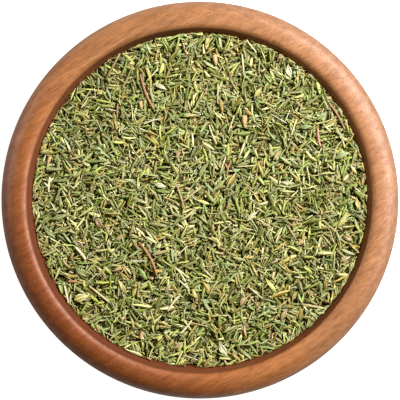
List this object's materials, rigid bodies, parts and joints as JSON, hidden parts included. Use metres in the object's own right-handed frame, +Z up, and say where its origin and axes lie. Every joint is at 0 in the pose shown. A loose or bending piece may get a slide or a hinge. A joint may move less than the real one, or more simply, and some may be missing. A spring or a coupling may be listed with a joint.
{
  "type": "bowl of dried thyme",
  "caption": "Round turned wooden bowl on a low foot ring, filled nearly to its lip with loose dried thyme: narrow curled leaves with bits of stem and flower cup on top.",
  "frame": {"origin": "middle of the foot ring's flat underside, on the bowl's turning axis", "axes": "+Z up along the bowl's turning axis; +X and +Y lie in the plane the bowl stands on, and the wood grain runs across the bowl between them"},
  "size_m": [0.15, 0.15, 0.05],
  "materials": {
    "bowl_wood": "satin, oiled",
    "dried_thyme": "matte, dry leaf",
    "green_leaf": "matte, dry leaf",
    "yellow_leaf": "matte, dry leaf",
    "tan_leaf": "matte, dry leaf",
    "brown_leaf": "matte, dry leaf",
    "pale_leaf": "matte, dry leaf",
    "pale_stem": "matte, dry stem",
    "brown_stem": "matte, dry stem",
    "pink_stem": "matte, dry stem",
    "flower_cup": "matte, dry flower cup"
  },
  "bodies": {
    "root": {"bowl": "bowl_wood", "thyme_bed": "dried_thyme", "yellow_leaf_1": "yellow_leaf", "yellow_leaf_2": "yellow_leaf", "yellow_leaf_3": "yellow_leaf", "yellow_leaf_4": "yellow_leaf", "yellow_leaf_5": "yellow_leaf", "tan_leaf_1": "tan_leaf", "tan_leaf_2": "tan_leaf", "tan_leaf_3": "tan_leaf", "tan_leaf_4": "tan_leaf", "tan_leaf_5": "tan_leaf", "tan_leaf_6": "tan_leaf", "tan_leaf_7": "tan_leaf", "tan_leaf_8": "tan_leaf", "brown_leaf_1": "brown_leaf", "green_leaf_1": "green_leaf", "green_leaf_2": "green_leaf", "green_leaf_3": "green_leaf", "green_leaf_4": "green_leaf", "green_leaf_5": "green_leaf", "green_leaf_6": "green_leaf", "green_leaf_7": "green_leaf", "pale_leaf_1": "pale_leaf", "pale_leaf_2": "pale_leaf", "pale_leaf_3": "pale_leaf", "pale_leaf_4": "pale_leaf", "pale_leaf_5": "pale_leaf", "pale_leaf_6": "pale_leaf", "long_stem_1": "brown_stem", "long_stem_2": "brown_stem", "long_stem_3": "brown_stem", "pink_stem": "pink_stem", "pale_stem_1": "pale_stem", "pale_stem_2": "pale_stem", "pale_stem_3": "pale_stem", "pale_stem_4": "pale_stem", "pale_stem_5": "pale_stem", "pale_stem_6": "pale_stem", "knotted_stem": "pale_stem", "brown_stem_1": "brown_stem", "brown_stem_2": "brown_stem", "flower_cup_1": "flower_cup", "flower_cup_2": "flower_cup", "flower_cup_3": "flower_cup", "flower_cup_4": "flower_cup", "flower_cup_5": "flower_cup", "flower_cup_6": "flower_cup", "flower_cup_7": "flower_cup", "flower_cup_8": "flower_cup", "forked_twig_1": "pale_stem", "forked_twig_2": "brown_stem", "sprig_tip_1": "green_leaf", "sprig_tip_2": "green_leaf"}
  },
  "joints": []
}
